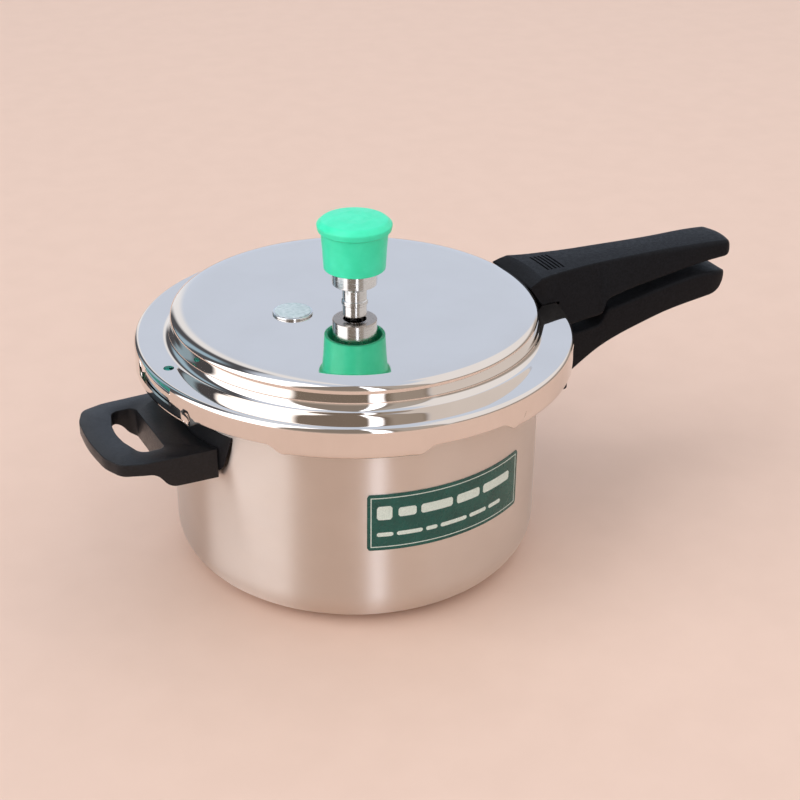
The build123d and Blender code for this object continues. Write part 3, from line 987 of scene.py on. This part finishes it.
def label_marks():
    """Border line and plain bars printed on the label."""
    edge = 1.7
    line = 0.45
    left, right = -half_run + edge, half_run - edge
    low, high = label_low + edge, label_high - edge
    marks = [
        box_corners(left, right, low, low + line, 0),
        box_corners(left, right, high - line, high, 0),
        box_corners(left, left + line, low, high, 0),
        box_corners(right - line, right, low, high, 0),
    ]
    first = left + 3.0
    square = 7.5
    marks.append(box_corners(first, first + square, 64.5, 72.0, 1.2))
    rows = (
        (first + square + 3.0, (9, 17, 14, 20), 2.4, 65.6, 70.6, 1.0),
        (first, (8, 13, 6, 15, 11, 9), 1.8, 55.2, 57.4, 0.6),
    )
    for at, widths, space, bottom, top_edge, radius in rows:
        for width in widths:
            if at + width < right - 2:
                marks.append(box_corners(at, at + width, bottom, top_edge, radius))
            at += width + space
    points, faces = [], []
    for mark in marks:
        mark_points, mark_faces = bent_panel(mark, pot_radius + 0.31, 0.03)
        faces += [tuple(index + len(points) for index in face) for face in mark_faces]
        points += mark_points
    return points, faces


add_piece("label_print", *label_marks(), ink, "pot", crease=label_crease)

# ---------------------------------------------------------------- materials of the CAD nodes that stay
node_materials = {
    "pot_handle_bracket": plated,
    "pot_handle_screws": plated,
    "helper_bracket": plated,
    "helper_handle_screw": plated,
    "lid_handle_bracket": plated,
    "lid_handle_screws": plated,
    "vent_washer": rubber_black,
    "vent_nut": fine_steel,
    "safety_valve_core": alloy,
    "safety_valve_washer": rubber_black,
    "safety_valve_nut": fine_steel,
    "weight_needle": fine_steel,
}
for node, material in node_materials.items():
    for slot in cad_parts[node].material_slots:
        slot.material = material


# ---------------------------------------------------------------- camera
camera_azimuth = -115.5     # side of the cooker that the camera stands on


def make_camera():
    """Camera of the photo; its angles are in radians and its place is in millimetres."""
    heading = radians(62.72)
    pitch = 0.48158
    roll = 0.0108
    place = Vector((-326.3, -684.1, 476.1))
    ahead = Vector((cos(heading) * cos(pitch), sin(heading) * cos(pitch), -sin(pitch)))
    right = Vector((sin(heading), -cos(heading), 0))
    up = right.cross(ahead)
    turn = Matrix((right, up, -ahead)).transposed() @ Matrix.Rotation(roll, 3, "Z")
    data = bpy.data.cameras.new("camera")
    data.sensor_width = 36.0
    data.lens = 73.41
    data.clip_start = 0.01
    camera = bpy.data.objects.new("camera", data)
    camera.matrix_world = Matrix.Translation(place * MM) @ turn.to_4x4()
    bpy.context.scene.collection.objects.link(camera)
    bpy.context.scene.camera = camera


make_camera()


# ---------------------------------------------------------------- floor, world and lights
def make_floor():
    size = 3.0
    mesh = bpy.data.meshes.new("floor")
    corners = [(-size, -size, 0), (size, -size, 0), (size, size, 0), (-size, size, 0)]
    mesh.from_pydata(corners, [], [(0, 1, 2, 3)])
    material, shader = new_material("floor_paint", linear(228, 198, 180), 0.7)
    shader.inputs["Specular IOR Level"].default_value = 0.1
    two_tone(material, shader, linear(229, 199, 181), linear(227, 197, 179), 40)
    mesh.materials.append(material)
    floor = bpy.data.objects.new("floor", mesh)
    bpy.context.scene.collection.objects.link(floor)


backdrop_tint = (0.70, 0.80, 0.97)
# (left, right, low, high, softness) in degrees from the camera's side and above the floor, then
# the colour; a later area covers the earlier ones
studio_areas = (
    ((-164, -148, -90, 90, 4), (0.98, 1.0, 1.04)),    # white strip far behind
    ((-152, -92, -90, 58, 4), (0.10, 0.105, 0.12)),    # dark part beside it
    ((-136, -118, 5, 48, 5), (0.40, 0.58, 0.72)),    # bluish patch in the dark part
    ((-40, 46, -90, 95, 3), (0.30, 0.26, 0.225)),    # dim side where the camera stands
    ((22, 44, -90, 95, 3), (0.50, 0.46, 0.42)),    # lighter strip on that side
    ((-40, 46, -90, 12, 6), (0.52, 0.44, 0.38)),    # low part of that side
    ((46, 146, -90, 70, 3), (0.98, 0.97, 0.98)),    # softbox on the right
    ((46, 146, -90, 16, 5), (0.42, 0.37, 0.33)),    # dimmer part under it
    ((-96, -38, -90, 76, 3), (2.2, 2.25, 2.35)),    # brighter softbox on the left
    ((9, 17, -90, 82, 2), (3.4, 3.7, 4.2)),    # narrow lamp near the camera
)


def make_world():
    """Studio that the steel reflects, painted on the world by direction from the cooker."""
    world = bpy.data.worlds.new("studio")
    world.use_nodes = True
    nodes, links = world.node_tree.nodes, world.node_tree.links
    place = nodes.new("ShaderNodeTexCoord")
    turn = nodes.new("ShaderNodeVectorRotate")
    turn.rotation_type = "Z_AXIS"
    turn.inputs["Angle"].default_value = radians(-camera_azimuth)
    parts = nodes.new("ShaderNodeSeparateXYZ")
    links.new(place.outputs["Generated"], turn.inputs["Vector"])
    links.new(turn.outputs["Vector"], parts.inputs["Vector"])

    def value_node(operation, *inputs):
        node = nodes.new("ShaderNodeMath")
        node.operation = operation
        for socket, value in zip(node.inputs, inputs):
            if isinstance(value, (int, float)):
                socket.default_value = value
            else:
                links.new(value, socket)
        return node.outputs["Value"]

    azimuth = value_node("DEGREES", value_node("ARCTAN2", parts.outputs["Y"], parts.outputs["X"]))
    elevation = value_node("DEGREES", value_node("ARCSINE", parts.outputs["Z"]))

    def edge(source, start, stop):
        node = nodes.new("ShaderNodeMapRange")
        node.interpolation_type = "SMOOTHSTEP"
        node.inputs["From Min"].default_value = start
        node.inputs["From Max"].default_value = stop
        links.new(source, node.inputs["Value"])
        return node.outputs["Result"]

    def window(left, right, low, high, soft):
        """Mask of one area of the studio."""
        sides = value_node("MULTIPLY", edge(azimuth, left - soft, left + soft),
                           edge(azimuth, right + soft, right - soft))
        ends = value_node("MULTIPLY", edge(elevation, low - soft, low + soft),
                          edge(elevation, high + soft, high - soft))
        return value_node("MULTIPLY", sides, ends)

    base = nodes.new("ShaderNodeRGB")
    base.outputs["Color"].default_value = (*backdrop_tint, 1)
    colour = base.outputs["Color"]
    for area, tint in studio_areas:
        mix = nodes.new("ShaderNodeMix")
        mix.data_type = "RGBA"
        mix.inputs["B"].default_value = (*tint, 1)
        links.new(window(*area), mix.inputs["Factor"])
        links.new(colour, mix.inputs["A"])
        colour = mix.outputs["Result"]
    links.new(colour, nodes["Background"].inputs["Color"])
    bpy.context.scene.world = world


panel_distance = 1.8    # metres
panel_width = 1.6


def add_panel(name, azimuth, elevation, height, power):
    """Soft rectangular light that faces the cooker and isn't seen in its reflections."""
    data = bpy.data.lights.new(name, "AREA")
    data.shape = "RECTANGLE"
    data.size = panel_width
    data.size_y = height
    data.energy = power
    light = bpy.data.objects.new(name, data)
    spot = Vector((
        cos(radians(azimuth)) * cos(radians(elevation)),
        sin(radians(azimuth)) * cos(radians(elevation)),
        sin(radians(elevation)),
    )) * panel_distance
    light.location = spot + Vector((0, 0, 0.1))
    light.rotation_euler = (-spot).to_track_quat("-Z", "Y").to_euler()
    light.visible_glossy = False
    bpy.context.scene.collection.objects.link(light)


make_floor()
make_world()
add_panel("overhead", 60, 80, height=1.6, power=4)
add_panel("front_fill", camera_azimuth, 42, height=1.2, power=5)

view_settings = bpy.context.scene.view_settings
view_settings.view_transform = "Standard"
